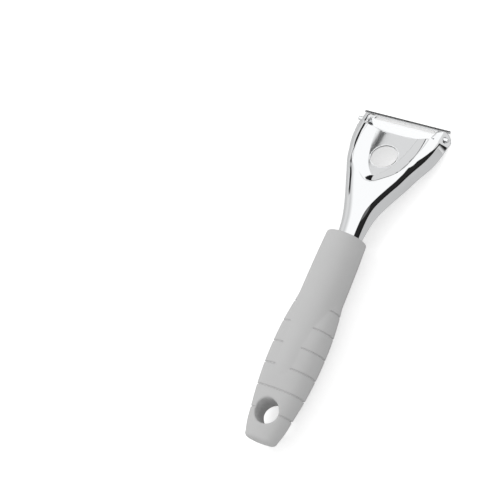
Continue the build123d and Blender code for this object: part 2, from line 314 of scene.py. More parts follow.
class HeadSettings(bpy.types.PropertyGroup):
    plate_length: length("Plate length", 66.8, "From the handle to the front edge")
    width: length("Width", 45.0, "Width between the folds at the front")
    sheet: length("Sheet", 0.9, "Thickness of the steel")
    fold_radius: length("Fold radius", 7.2, "Outer radius of the folds along the plate")
    splay: FloatProperty(
        name="Splay",
        description="Lean of the flanges at the front",
        default=radians(36),
        subtype="ANGLE",
    )
    flange: length("Flange", 9.33, "Depth of the flanges at the front")
    crest: length("Crest", 7.3, "Height of the crest above the handle's axis")
    recess_width: length("Recess width", 35.0, "Width of the pressed recess")
    recess_length: length("Recess length", 36.5, "Length of the pressed recess")
    recess_wall: length("Recess wall", 5.2, "Width of the recess's sloping wall")
    recess_depth: length("Recess depth", 1.9, "Depth of the recess at the front edge")
    hole: length("Round hole", 15.0, "Diameter of the round hole in the head")
    hole_setback: length("Hole setback", 17.2, "From the front edge to the hole's middle")
    ear_rise: length("Ear rise", 5.4, "From the blade's pivot up to the plate's front edge")
    ear_radius: length("Ear radius", 4.0, "Radius of the ears that carry the blade")
    chrome_colour: colour("Chrome", "#E4E5E6", "Colour of the plated head")


class BladeSettings(bpy.types.PropertyGroup):
    sheet: length("Sheet", 0.8, "Thickness of the blade")
    reach: length("Reach", 5.9, "From the pivot to the front edge")
    back: length("Back", 4.6, "From the pivot to the back edge")
    crown: length("Crown", 0.6, "Height of the blade's curve over the pivot")
    front_length: length("Front length", 52.6, "Length of the bar ahead of the ears")
    back_length: length("Back length", 42.0, "Length of the back edge")
    waist: length("Waist", 38.6, "Length just behind the front bar")
    slot_length: length("Slot length", 37.0, "Length of the slot")
    slot_width: length("Slot width", 1.8, "Width of the slot")
    slot_place: length("Slot place", 2.3, "From the pivot to the slot")
    journal: length("Journal", 2.4, "Diameter of the journals")
    journal_span: length("Journal span", 55.6, "Length over both journals")
    cheek_radius: length("Cheek radius", 2.4, "Radius of the bent ends that carry the journals")
    steel_colour: colour("Steel", "#E8E9EA", "Colour of the ground steel")


class StageSettings(bpy.types.PropertyGroup):
    floor_colour: colour("Floor", "#DCDCDC", "Colour of the floor")
    key_power: power("Key power", 5.7, "Power of the key light in watts")
    fill_power: power("Fill power", 0.3, "Power of the fill light in watts")


# Small tools


def in_mm(settings):
    """The values of a property group, with its lengths in millimetres."""
    values = {name: getattr(settings, name) for name in settings.__annotations__}
    for name in values:
        if settings.bl_rna.properties[name].unit == "LENGTH":
            values[name] /= MM
    return SimpleNamespace(**values)


def add_node(tree, kind, inputs=None, **settings):
    """Adds a node with its settings. An input is given a value or an output to link from; a node
    given there stands for its first output."""
    node = tree.nodes.new(kind)
    for name, value in settings.items():
        setattr(node, name, value)
    for key, value in (inputs or {}).items():
        if isinstance(value, bpy.types.Node):
            value = value.outputs[0]
        if isinstance(value, bpy.types.NodeSocket):
            tree.links.new(value, node.inputs[key])
        else:
            node.inputs[key].default_value = value
    return node


def add_steps(tree, known, steps):
    """Adds a formula's nodes, from the outputs known by name, and keeps each step's output too."""

    def result(value):
        if isinstance(value, tuple):
            inputs = dict(zip(("Value", "From Min", "From Max"), map(result, value)))
            return add_node(tree, "ShaderNodeMapRange", inputs, interpolation_type="SMOOTHSTEP")
        return known[value] if isinstance(value, str) else value

    for name, operation, *values in steps:
        inputs = dict(enumerate(map(result, values)))
        known[name] = add_node(tree, "ShaderNodeMath", inputs, operation=operation).outputs[0]


def start_tree(name, sizes, places=()):
    """New geometry nodes tree with its inputs, and their outputs inside it by name."""
    tree = bpy.data.node_groups.new(name, "GeometryNodeTree")
    sockets = [("Geometry", "Geometry")]
    sockets += [(size, "Float") for size in sizes] + [(place, "Vector") for place in places]
    for socket, kind in sockets:
        tree.interface.new_socket(socket, in_out="INPUT", socket_type="NodeSocket" + kind)
    tree.interface.new_socket("Geometry", in_out="OUTPUT", socket_type="NodeSocketGeometry")
    return tree, {socket.name: socket for socket in tree.nodes.new("NodeGroupInput").outputs}


def end_tree(tree, shape, finish):
    """Ends a geometry nodes tree with real geometry in its material."""
    real = add_node(tree, "GeometryNodeRealizeInstances", {"Geometry": shape})
    painted = add_node(tree, "GeometryNodeSetMaterial", {"Geometry": real, "Material": finish})
    add_node(tree, "NodeGroupOutput", {"Geometry": painted})


def run_tree(piece, tree, values):
    """Runs a geometry nodes tree on a piece, with its inputs set by their sockets' identifiers."""
    modifier = piece.modifiers.new(tree.name, "NODES")
    modifier.node_group = tree
    for item in tree.interface.items_tree:
        if item.item_type == "SOCKET" and item.in_out == "INPUT" and item.name in values:
            modifier[item.identifier] = values[item.name]
    settle(piece)


def start_material(name):
    """Empty node material, its tree and the place on the piece that its patterns start from."""
    made = bpy.data.materials.new(name)
    made.use_nodes = True
    made.node_tree.nodes.clear()
    place = add_node(made.node_tree, "ShaderNodeTexCoord").outputs["Object"]
    return made, made.node_tree, place


def end_material(made, inputs, relief, gloss=None):
    """Ends a material with a shader. Relief is a pattern, its strength and its depth in
    millimetres, and gloss is a pattern and the two roughnesses that it changes between."""
    tree = made.node_tree
    pattern, strength, depth = relief
    bump = {"Height": pattern, "Strength": strength, "Distance": depth * MM}
    inputs["Normal"] = add_node(tree, "ShaderNodeBump", bump)
    if gloss:
        inputs["Roughness"] = add_node(
            tree, "ShaderNodeMapRange", dict(zip(("Value", "To Min", "To Max"), gloss))
        )
    shader = add_node(tree, "ShaderNodeBsdfPrincipled", inputs)
    add_node(tree, "ShaderNodeOutputMaterial", {"Surface": shader})
    return made


def smooth_table(table, place):
    """Smooth curve through the rows of a table whose first column is the place."""
    rows = np.asarray(table, float)
    xs = rows[:, 0]
    place = np.clip(np.asarray(place, float), xs[0], xs[-1])
    k = np.clip(np.searchsorted(xs, place, side="right") - 1, 0, len(xs) - 2)
    slopes = np.gradient(rows[:, 1:], xs, axis=0)
    h = (xs[k + 1] - xs[k])[..., None]
    t = (place - xs[k])[..., None] / h
    value = (2 * t**3 - 3 * t**2 + 1) * rows[k, 1:] + (3 * t**2 - 2 * t**3) * rows[k + 1, 1:]
    return value + ((t**3 - 2 * t**2 + t) * slopes[k] + (t**3 - t**2) * slopes[k + 1]) * h


def soft_max(a, b, softness):
    return (a + b + np.sqrt((a - b) ** 2 + softness**2)) / 2


def soft_min(a, b, softness):
    return (a + b - np.sqrt((a - b) ** 2 + softness**2)) / 2


def new_object(name, points_mm, faces, finish):
    """Object at the origin with a mesh of these points, given in millimetres."""
    mesh = bpy.data.meshes.new(name)
    mesh.from_pydata([tuple(float(v) * MM for v in p) for p in points_mm], [], faces)
    mesh.update()
    mesh.materials.append(finish)
    piece = bpy.data.objects.new(name, mesh)
    bpy.context.scene.collection.objects.link(piece)
    return piece


def settle(piece):
    """Turns a piece and its modifiers into a plain mesh."""
    evaluated = piece.evaluated_get(bpy.context.evaluated_depsgraph_get())
    mesh = bpy.data.meshes.new_from_object(evaluated)
    piece.modifiers.clear()
    piece.data = mesh
    mesh.name = piece.name


def shade(piece, angle_deg):
    """Smooth shading, kept sharp where faces meet at more than this angle."""
    piece.data.shade_smooth()
    piece.data.set_sharp_from_angle(angle=radians(angle_deg))


def round_edges(piece, width_mm, angle_deg=50, segments=2):
    """Rounds the edges where faces meet at more than this angle."""
    bevel = piece.modifiers.new("Rounded edges", "BEVEL")
    bevel.width = width_mm * MM
    bevel.segments = segments
    bevel.limit_method = "ANGLE"
    bevel.angle_limit = radians(angle_deg)
    settle(piece)


def inside(points, loop):
    """Which points lie inside a closed loop."""
    x, y = points[:, 0], points[:, 1]
    result = np.zeros(len(points), bool)
    for (x0, y0), (x1, y1) in zip(loop, np.roll(loop, -1, axis=0)):
        if y0 != y1:
            crosses = (y0 > y) != (y1 > y)
            result ^= crosses & (x < (x1 - x0) * (y - y0) / (y1 - y0) + x0)
    return result


def distance_to(points, line, closed=False):
    """Distance from each point to a line of straight runs."""
    line = np.asarray(line, float)
    ends = np.roll(line, -1, axis=0) if closed else line[1:]
    starts = line if closed else line[:-1]
    best = np.full(len(points), np.inf)
    for a, b in zip(starts, ends):
        run = b - a
        t = np.clip(((points - a) @ run) / max(float(run @ run), 1e-12), 0, 1)
        best = np.minimum(best, np.hypot(*(points - a - t[:, None] * run).T))
    return best


def resample(line, step, closed=False):
    """Even points along a line of straight runs."""
    line = np.asarray(line, float)
    if closed:
        line = np.vstack([line, line[:1]])
    along = np.concatenate([[0], np.cumsum(np.hypot(*np.diff(line, axis=0).T))])
    places = np.linspace(0, along[-1], max(2, ceil(along[-1] / step)) + 1)
    points = np.stack([np.interp(places, along, line[:, i]) for i in (0, 1)], axis=1)
    return points[:-1] if closed else points


def sheet_net(outline, holes, inner_points, keep_off):
    """Flat net of triangles inside an outline and outside its holes."""
    loops = [outline] + holes
    near = inside(inner_points, outline)
    for loop in loops:
        near &= distance_to(inner_points, loop, closed=True) > keep_off
    for hole in holes:
        near &= ~inside(inner_points, hole)
    points = np.vstack(loops + [inner_points[near]])
    edges = []
    start = 0
    for loop in loops:
        edges += [(start + i, start + (i + 1) % len(loop)) for i in range(len(loop))]
        start += len(loop)
    found = delaunay_2d_cdt([Vector(p) for p in points.tolist()], edges, [], 0, 1e-6)
    flat = np.array([tuple(v) for v in found[0]])
    triangles = np.array([tuple(f) for f in found[2]])
    middle = flat[triangles].mean(axis=1)
    keep = inside(middle, outline)
    for hole in holes:
        keep &= ~inside(middle, hole)
    return flat, triangles[keep]


def thick_sheet(name, surface, triangles, thickness, finish, level_share=None):
    """Closed sheet from its upper surface, thickened downwards by a thickness for each point.
    Where level_share is 1 the sheet is thickened along X, so that its rim stays parallel to X."""
    a, b, c = (surface[triangles[:, i]] for i in range(3))
    face_normals = np.cross(b - a, c - a)
    if face_normals[:, 2].sum() < 0:
        triangles = triangles[:, ::-1]
        face_normals = -face_normals
    normals = np.zeros_like(surface)
    for i in range(3):
        np.add.at(normals, triangles[:, i], face_normals)
    normals /= np.maximum(np.linalg.norm(normals, axis=1, keepdims=True), 1e-12)
    below = surface - normals * thickness[:, None]
    if level_share is not None:
        steep = np.abs(normals[:, 0]) > 0.4
        level = surface[steep].copy()
        level[:, 0] -= thickness[steep] / normals[steep, 0]
        share = level_share[steep, None]
        below[steep] = below[steep] * (1 - share) + level * share
    # Nothing goes under the lowest level of the solids
    points = np.vstack([surface, below])
    points[:, 2] = np.maximum(points[:, 2], LOWEST)
    count = len(surface)
    faces = triangles.tolist()
    edges = dict.fromkeys((tri[i], tri[(i + 1) % 3]) for tri in faces for i in range(3))
    rim = [(p, q) for p, q in edges if (q, p) not in edges]
    faces += [[i + count for i in tri[::-1]] for tri in faces]
    faces += [[q, p, p + count, q + count] for p, q in rim]
    piece = new_object(name, points, faces, finish)
    sheet = bmesh.new()
    sheet.from_mesh(piece.data)
    bmesh.ops.delete(sheet, geom=[v for v in sheet.verts if not v.link_faces], context="VERTS")
    sheet.to_mesh(piece.data)
    sheet.free()
    return piece


# Materials

NOISE = "ShaderNodeTexNoise"


def soft_grip_material(colour_value):
    """Soft-touch thermoplastic rubber, moulded over the core in a spark-eroded tool.
    It gives an even matt grey with a very fine grain and a faint sheen at the edges."""
    made, tree, place = start_material("soft_touch_rubber")
    # The tool's grain is about 0.12 mm; it is drawn at 0.35 mm, the finest that shows.
    grain = add_node(tree, NOISE, {"Vector": place, "Scale": 1 / (0.35 * MM), "Detail": 3.0})
    # Slow change of tone over 12 mm, from handling and from the moulding's flow
    tone = add_node(tree, NOISE, {"Vector": place, "Scale": 1 / (12 * MM), "Detail": 2.0})
    light = tuple(colour_value)
    dark = tuple(c * 0.95 for c in light[:3]) + (1.0,)
    mix = add_node(tree, "ShaderNodeMix", {0: tone, 6: dark, 7: light}, data_type="RGBA")
    inputs = {"Base Color": mix.outputs[2], "IOR": 1.48, "Specular IOR Level": 0.35}
    inputs |= {"Sheen Weight": 0.06, "Sheen Roughness": 0.5}
    return end_material(made, inputs, relief=(grain, 0.12, 0.05), gloss=(grain, 0.5, 0.68))


def core_material(colour_value):
    """Dark glass-filled nylon, moulded: a satin skin with a faint mottle of fibres."""
    made, tree, place = start_material("dark_glass_filled_nylon")
    # The fibres gather in patches about 1.2 mm across
    mottle = add_node(tree, NOISE, {"Vector": place, "Scale": 1 / (1.2 * MM), "Detail": 4.0})
    dark = tuple(colour_value)
    light = tuple(min(1.0, c * 1.35) for c in dark[:3]) + (1.0,)
    mix = add_node(tree, "ShaderNodeMix", {0: mottle, 6: dark, 7: light}, data_type="RGBA")
    inputs = {"Base Color": mix.outputs[2], "Roughness": 0.5, "IOR": 1.53}
    return end_material(made, inputs, relief=(mottle, 0.1, 0.05))


def chrome_material(colour_value):
    """Bright chrome plate on stamped and polished steel: a clear mirror, with a very slight
    waviness from the press tool and fine wiping marks that only change its gloss."""
    made, tree, place = start_material("chrome_plated_steel")
    # Press waves about 9 mm long
    wave = add_node(tree, NOISE, {"Vector": place, "Scale": 1 / (9 * MM), "Detail": 1.0})
    # Wiping marks 0.5 mm apart, stretched along the head
    stretch = add_node(tree, "ShaderNodeMapping", {"Vector": place, "Scale": (1.0, 0.08, 1.0)})
    marks = add_node(tree, NOISE, {"Vector": stretch, "Scale": 1 / (0.5 * MM), "Detail": 2.0})
    inputs = {"Base Color": tuple(colour_value), "Metallic": 1.0}
    return end_material(made, inputs, relief=(wave, 0.03, 0.06), gloss=(marks, 0.015, 0.04))


def steel_material(colour_value):
    """Hardened stainless strip, ground along its length: soft streaks along the blade."""
    made, tree, place = start_material("ground_stainless_steel")
    # Grinding marks 0.12 mm apart, drawn at 0.25 mm so that they show, and stretched along X
    stretch = add_node(tree, "ShaderNodeMapping", {"Vector": place, "Scale": (0.03, 1.0, 1.0)})
    marks = add_node(tree, NOISE, {"Vector": stretch, "Scale": 1 / (0.25 * MM), "Detail": 3.0})
    inputs = {"Base Color": tuple(colour_value), "Metallic": 1.0}
    return end_material(made, inputs, relief=(marks, 0.15, 0.03), gloss=(marks, 0.1, 0.22))


def floor_material(colour_value):
    """White paper sweep: it looks white to the camera and keeps the shadow near the peeler."""
    made, tree, _ = start_material("white_paper")
    paper = add_node(tree, "ShaderNodeBsdfDiffuse", {"Color": tuple(colour_value)})
    # Raised to white for the camera; reflections show the pale paper itself
    path = add_node(tree, "ShaderNodeLightPath")
    inputs = {0: path.outputs["Is Camera Ray"], 1: 0.55}
    raised = add_node(tree, "ShaderNodeMath", inputs, operation="MULTIPLY")
    glow = add_node(tree, "ShaderNodeEmission", {"Color": (1, 1, 1, 1), "Strength": raised})
    both = add_node(tree, "ShaderNodeAddShader", {0: paper, 1: glow})
    add_node(tree, "ShaderNodeOutputMaterial", {"Surface": both})
    return made


# Handle


def lift(size, y):
    """Rise of the handle's centre line towards the head."""
    return size.front_lift * np.maximum(0, y - LIFT_START) / (size.length - LIFT_START)


def oval_radius(width, thickness, turn, squareness=2.0):
    """Distance from the middle of an oval to its rim in each direction."""
    across, up = np.abs(np.cos(turn)) / (width / 2), np.abs(np.sin(turn)) / (thickness / 2)
    return (across**squareness + up**squareness) ** (-1 / squareness)


def handle_rows(size):
    """Places of the rings along the handle, close together at the grooves."""
    last = size.length - size.front_rounding
    rows = list(np.arange(size.rear_rounding, last, RING_STEP)) + [last]
    half = size.groove_width / 2
    for number in range(size.groove_count):
        middle = size.first_groove + number * size.groove_pitch
        rows = [y for y in rows if abs(y - middle) > half + 0.15]
        rows += [middle + half * share for share in GROOVE_RINGS]
    return sorted(rows)


def handle_ring(size, y, turn):
    """Radius of the handle's skin and how far the grip stands out of the barrel there."""
    grip_w, grip_t = smooth_table(GRIP_SECTIONS, y)
    barrel_w, barrel_t = smooth_table(BARREL_SECTIONS, y)
    grip = oval_radius(grip_w * size.grip_width, grip_t * size.grip_thickness, turn, SQUARENESS)
    barrel = oval_radius(barrel_w * size.barrel_width, barrel_t * size.barrel_thickness, turn)
    grip -= max(0, y - GRIP_SECTIONS[-1][0]) * GRIP_SINK
    barrel -= max(0, BARREL_SECTIONS[0][0] - y) * BARREL_SINK
    return soft_max(grip, barrel, 0.2), grip - barrel


def handle_mesh(size, finish):
    """Closed skin of the handle: outside, rounded ends, and the hollow that holds the core."""
    turn = np.linspace(0, 2 * pi, RING_POINTS, endpoint=False)
    across, up = np.cos(turn), np.sin(turn)
    rings, shares = [], []

    def ring(y, radius, share=0.0):
        """Adds a ring; share says how much of a groove's depth each point gets."""
        places = np.full(RING_POINTS, y)
        rings.append(np.stack([radius * across, places, radius * up + lift(size, y)], axis=1))
        shares.append(np.full(RING_POINTS, share))

    rounding = size.rear_rounding
    rear, _ = handle_ring(size, rounding, turn)
    for share in DOME_RINGS:
        ring(DOME * share**2, (rear - rounding) * share)
    for angle in np.linspace(0, pi / 2, 9, endpoint=False):
        ring(DOME + (rounding - DOME) * (1 - cos(angle)), rear - rounding * (1 - sin(angle)))
    for y in handle_rows(size):
        radius, ahead = handle_ring(size, y, turn)
        ring(y, radius, np.clip((ahead + 0.05) / 0.35, 0, 1))
    rounding = size.front_rounding
    last = size.length - rounding
    front, _ = handle_ring(size, last, turn)
    for angle in np.linspace(0, pi / 2, 8)[1:]:
        ring(last + rounding * sin(angle), front - rounding * (1 - cos(angle)))
    # Mouth of the hollow, a little wider than the core, and then its wall
    core = oval_radius(size.core_width, size.core_thickness, turn)
    for back, wider in ((0.0, 0.3), (0.1, 0.08), (0.3, 0.0), (3.0, 0.0)):
        ring(size.length - back, core + wider)
    for y in HOLLOW_RINGS:
        ring(y, core)
    ring(HOLLOW_END, core * 0.96)

    count = len(rings)
    columns = [(j, (j + 1) % RING_POINTS) for j in range(RING_POINTS)]
    faces = []
    for low in range(0, (count - 1) * RING_POINTS, RING_POINTS):
        high = low + RING_POINTS
        faces += [(low + j, low + k, high + k, high + j) for j, k in columns]
    inmost = (count - 1) * RING_POINTS
    rear_pole = count * RING_POINTS
    for j, k in columns:
        faces += [(j, rear_pole, k), (inmost + k, rear_pole + 1, inmost + j)]
    points = np.vstack(rings + [[(0.0, 0.0, 0.0), (0.0, HOLLOW_END, 0.0)]])

    # The mouth of the hanging hole is rounded over
    hole = size.hole / 2
    rounding = size.hole_rounding
    away = np.hypot(points[:, 0], points[:, 1] - size.first_groove)
    into = np.clip(1 - (away - hole) / rounding, 0, 1)
    drop = rounding * (1 - np.sqrt(1 - into**2))
    near = (away < hole + rounding) & (np.arange(len(points)) < inmost) & (np.abs(points[:, 2]) > 2)
    points[near, 2] -= np.sign(points[near, 2]) * drop[near]

    points[:, 1] += REAR
    points[:, 2] = np.clip(points[:, 2] + AXIS, LOWEST, HIGHEST)
    piece = new_object("handle_skin", points, faces, finish)
    share = np.concatenate(shares + [np.zeros(2)]).astype(np.float32)
    outward = np.zeros((len(points), 3), np.float32)
    outward[:rear_pole, 0] = np.tile(across, count)
    outward[:rear_pole, 2] = np.tile(up, count)
    layers = piece.data.attributes
    layers.new("grip_share", "FLOAT", "POINT").data.foreach_set("value", share)
    layers.new("outward", "FLOAT_VECTOR", "POINT").data.foreach_set("vector", outward.ravel())
    return piece


def groove_tree(finish):
    """Geometry nodes that press evenly spaced finger grooves into the grip's skin."""
    sizes = ("Hanging End", "First Groove", "Pitch", "Count", "Width", "Depth")
    tree, known = start_tree("Finger grooves", sizes)
    place = add_node(tree, "GeometryNodeInputPosition")
    known["along"] = add_node(tree, "ShaderNodeSeparateXYZ", {0: place}).outputs["Y"]
    attribute = "GeometryNodeInputNamedAttribute"
    share = add_node(tree, attribute, {"Name": "grip_share"}, data_type="FLOAT")
    known["share"] = share.outputs[0]
    outward = add_node(tree, attribute, {"Name": "outward"}, data_type="FLOAT_VECTOR")
    add_steps(tree, known, GROOVE_STEPS)
    inputs = {0: outward, "Scale": known["amount"]}
    offset = add_node(tree, "ShaderNodeVectorMath", inputs, operation="SCALE")
    inputs = {"Geometry": known["Geometry"], "Offset": offset}
    moved = add_node(tree, "GeometryNodeSetPosition", inputs)
    end_tree(tree, moved, finish)
    return tree


def cut_hanging_hole(piece, size, finish):
    """Cuts the round hanging hole through the skin."""
    hole = size.hole / 2
    middle = REAR + size.first_groove
    count = 112
    circle = [(cos(2 * pi * i / count), sin(2 * pi * i / count)) for i in range(count)]
    levels = (AXIS - 20, AXIS + 20)
    points = [(hole * x, middle + hole * y, z) for z in levels for x, y in circle]
    walls = [(i, (i + 1) % count, count + (i + 1) % count, count + i) for i in range(count)]
    ends = [tuple(range(count))[::-1], tuple(range(count, 2 * count))]
    cutter = new_object("hole_cutter", points, walls + ends, finish)
    cut = piece.modifiers.new("Hanging hole", "BOOLEAN")
    cut.operation = "DIFFERENCE"
    cut.solver = "EXACT"
    cut.object = cutter
    settle(piece)
    bpy.data.objects.remove(cutter)
    piece.data.materials.clear()
    piece.data.materials.append(finish)


class PEELER_OT_handle(bpy.types.Operator):
    """Builds the soft grip with its finger grooves and hanging hole"""

    bl_idname = "peeler.handle"
    bl_label = "Handle"

    def execute(self, context):
        settings = context.scene.peeler_handle
        size = in_mm(settings)
        finish = soft_grip_material(settings.grip_colour)
        piece = handle_mesh(size, finish)
        values = {
            "Hanging End": REAR * MM,
            "First Groove": settings.first_groove,
            "Pitch": settings.groove_pitch,
            "Count": float(settings.groove_count),
            "Width": settings.groove_width,
            "Depth": settings.groove_depth,
        }
        run_tree(piece, groove_tree(finish), values)
        cut_hanging_hole(piece, size, finish)
        shade(piece, 42)
        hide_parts("handle_grip")
        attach(piece, "handle")
        core = frame["nodes"]["handle_core"]
        core.data.materials.clear()
        core.data.materials.append(core_material(settings.core_colour))
        return {"FINISHED"}


# Head


def head_level(size, y):
    """Height of the head's top face along its middle, with y counted from the handle's front."""
    plate = size.plate_length
    front = PIVOT[2] - AXIS + size.ear_rise
    table = list(NECK) + [(place * plate, share * size.crest) for place, share in CREST]
    for share in (1.0, 0.66, 0.33, 0.0):
        table.append((plate - PLATE_RUN * share, front + PLATE_RUN * share * PLATE_SLOPE))
    level = smooth_table(table, y)[..., 0]
    return np.where(y > plate, front - (y - plate) * PLATE_SLOPE, level) + AXIS


def head_shape(size, y):
    """Half width, flange depth and fold turn of the head's section, and where its fold starts."""
    values = smooth_table(HEAD_SECTIONS, y / size.plate_length)
    half = values[..., 0] * size.width / 2
    depth = values[..., 1] * size.flange
    turn = pi / 2 - values[..., 2] * size.splay
    return half, depth, turn, half - size.fold_radius * np.tan(turn / 2)


def head_point(size, along, y):
    """Places a point of the flat pattern on the folded sheet; along is measured over the fold."""
    _, _, turn, flat = head_shape(size, y)
    radius = size.fold_radius
    q = np.abs(along)
    bent = np.clip((q - flat) / radius, 0, turn)
    past = np.maximum(q - flat - radius * turn, 0)
    x = np.minimum(q, flat) + radius * np.sin(bent) + past * np.cos(turn)
    z = head_level(size, y) - radius * (1 - np.cos(bent)) - past * np.sin(turn)
    return np.sign(along) * x, z


def head_reach(size, y):
    """Length of the flat pattern from the middle to the flange's edge."""
    half, depth, turn, _ = head_shape(size, y)
    return half + size.fold_radius * turn + depth - 2 * size.fold_radius * np.tan(turn / 2)


def along_from_height(size, y, z):
    """Where on the flat pattern the flange reaches this height."""
    _, _, turn, flat = head_shape(size, y)
    radius = size.fold_radius
    drop = np.maximum(head_level(size, y) - z, 0)
    bend = radius * (1 - np.cos(turn))
    in_fold = flat + radius * np.arccos(np.clip(1 - drop / radius, -1, 1))
    return np.where(drop < bend, in_fold, flat + radius * turn + (drop - bend) / np.sin(turn))


def recess_floor(size, y):
    """Height of the recess's floor."""
    return PIVOT[2] + size.ear_rise - size.recess_depth + (size.plate_length - y) * tan(RECESS_TILT)


def recess_foot(size):
    """Outline of the recess's floor, from its right front corner round the arch."""
    half = size.recess_width / 2 - size.recess_wall
    run = size.recess_length - size.recess_wall
    right = [(half, RECESS_OVERRUN)] + [(w * half, -d * run) for d, w in RECESS_OUTLINE]
    knots = np.array(right + [(0.0, -run)] + [(-x, y) for x, y in right[::-1]])
    steps = np.concatenate([[0], np.cumsum(np.hypot(*np.diff(knots, axis=0).T))])
    fine = smooth_table(np.column_stack([steps, knots]), np.linspace(0, steps[-1], 240))
    fine[:, 1] = size.plate_length + fine[:, 1] * cos(RECESS_TILT)
    return fine


def recess_edges(size):
    """The recess's foot, the mouth of its wall, and net points that follow both."""
    foot = recess_foot(size)
    run = np.gradient(foot, axis=0)
    run /= np.linalg.norm(run, axis=1, keepdims=True)
    outward = np.stack([-run[:, 1], run[:, 0]], axis=1)
    if outward[len(outward) // 2, 1] > 0:
        outward = -outward
    rise = size.recess_depth / size.recess_wall
    points = []
    for base, way in zip(foot, outward):
        points += [base + way * offset for offset in (-0.12, 0.0, 0.12)]
        # The mouth is where the wall has risen to the plate
        reach = 0.0
        while reach < 12:
            y = (base + way * reach)[1]
            if recess_floor(size, y) + reach * rise >= head_level(size, y):
                break
            reach += 0.05
        points += [base + way * (reach + offset) for offset in (-0.35, 0.0, 0.35)]
    return foot, np.array(points[4::6]), np.array(points)


def recess_height(size, x, y, plate_z):
    """Height of the head's top face with the recess pressed into it."""
    foot = recess_foot(size)
    points = np.stack([x, y], axis=1)
    outside = distance_to(points, foot)
    # The floor's outline is closed far ahead of the head, and it leaves the ears out
    closed = np.vstack([foot, [[foot[-1][0], 200.0], [foot[0][0], 200.0]]])
    outside[inside(points, closed)] = 0
    ears = y > size.plate_length + 3
    outside[ears] = np.abs(x[ears])
    floor = recess_floor(size, y)
    wall = floor + outside * size.recess_depth / size.recess_wall
    return soft_min(plate_z, soft_max(floor, wall - 0.01, 0.02), 0.12)


def head_outline(size, pivot_y):
    """Closed outline of the head on its flat pattern."""
    plate = size.plate_length
    ys = np.linspace(NECK_END, plate, 140)
    side = np.stack([head_reach(size, ys), ys], axis=1)[:-1]
    angles = np.linspace(*EAR_RIM, 60)
    ys = pivot_y + size.ear_radius * np.cos(angles)
    zs = PIVOT[2] + size.ear_radius * cos(size.splay) * np.sin(angles)
    ear = np.stack([along_from_height(size, ys, zs), ys], axis=1)[ys > plate + 0.4]
    half = size.width / 2 - ARCH_INSET
    arch = [(x, plate - ARCH * (1 - (x / half) ** 2)) for x in np.linspace(half, 0, 40)]
    right = resample(np.vstack([side, ear, [(half + 0.25, plate + 0.1)], arch]), 0.45)
    return np.vstack([right, right[::-1][1:] * [-1, 1]])


def head_holes(size, pivot_y):
    """Round hole, square to the recess's floor, and both ears' bores, on the flat pattern."""
    slope = cos(RECESS_TILT)
    middle = size.plate_length - size.hole_setback * slope - 0.5
    turns = np.linspace(0, 2 * pi, 112, endpoint=False)
    radius = size.hole / 2
    hole = np.stack([radius * np.cos(turns), middle + radius * np.sin(turns) * slope], axis=1)
    turns = np.linspace(0, 2 * pi, 28, endpoint=False)
    ys, zs = pivot_y + BORE * np.cos(turns), PIVOT[2] + BORE * np.sin(turns)
    bore = np.stack([along_from_height(size, ys, zs), ys], axis=1)
    return [hole, bore, bore * [-1, 1]]


def head_rows(size, pivot_y):
    """Net points in rows across the flat pattern, with even steps over the folds."""
    points = []
    for y in np.arange(NECK_END + 0.3, pivot_y + size.ear_radius, 0.5):
        _, _, turn, start = head_shape(size, y)
        end = start + size.fold_radius * turn
        reach = head_reach(size, y)
        row = list(np.linspace(0, start, max(3, ceil(start / 0.6)) + 1))
        row += list(np.linspace(start, end, 9))[1:]
        row += list(np.linspace(end, reach, max(3, ceil((reach - end) / 0.6)) + 1))[1:]
        points += [(x, y) for x in row] + [(-x, y) for x in row[1:]]
    return np.array(points)


class PEELER_OT_head(bpy.types.Operator):
    """Builds the stamped head: neck, flanged plate with its recess and round hole, and two ears"""

    bl_idname = "peeler.head"
    bl_label = "Head"

    def execute(self, context):
        settings = context.scene.peeler_head
        size = in_mm(settings)
        front = REAR + context.scene.peeler_handle.length / MM
        pivot_y = PIVOT[1] - front
        foot, mouth, edges = recess_edges(size)
        inner = head_rows(size, pivot_y)
        inner = inner[(distance_to(inner, foot) > 0.6) & (distance_to(inner, mouth) > 0.6)]
        inner = np.vstack([inner, edges])
        outline, holes = head_outline(size, pivot_y), head_holes(size, pivot_y)
        flat, triangles = sheet_net(outline, holes, inner, 0.22)
        along, y = flat.T
        x, z = head_point(size, along, y)
        surface = np.stack([x, y + front, recess_height(size, x, y, z)], axis=1)
        in_ear = np.clip((y - size.plate_length + 0.5) / 1.3, 0, 1)
        finish = chrome_material(settings.chrome_colour)
        sheet = np.full(len(y), size.sheet)
        piece = thick_sheet("stamped_head", surface, triangles, sheet, finish, in_ear)
        round_edges(piece, 0.16, angle_deg=60)
        shade(piece, 40)
        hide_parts("head_yoke")
        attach(piece, "handle")
        return {"FINISHED"}


# Blade


def blade_level(size, y):
    """Height of the blade's upper face over the pivot, y ahead of it."""
    system = [[-size.back, size.back**2], [size.reach, size.reach**2]]
    slope, bend = np.linalg.solve(system, [edge - size.crown for edge in BLADE_EDGES])
    return size.crown + slope * y + bend * y**2


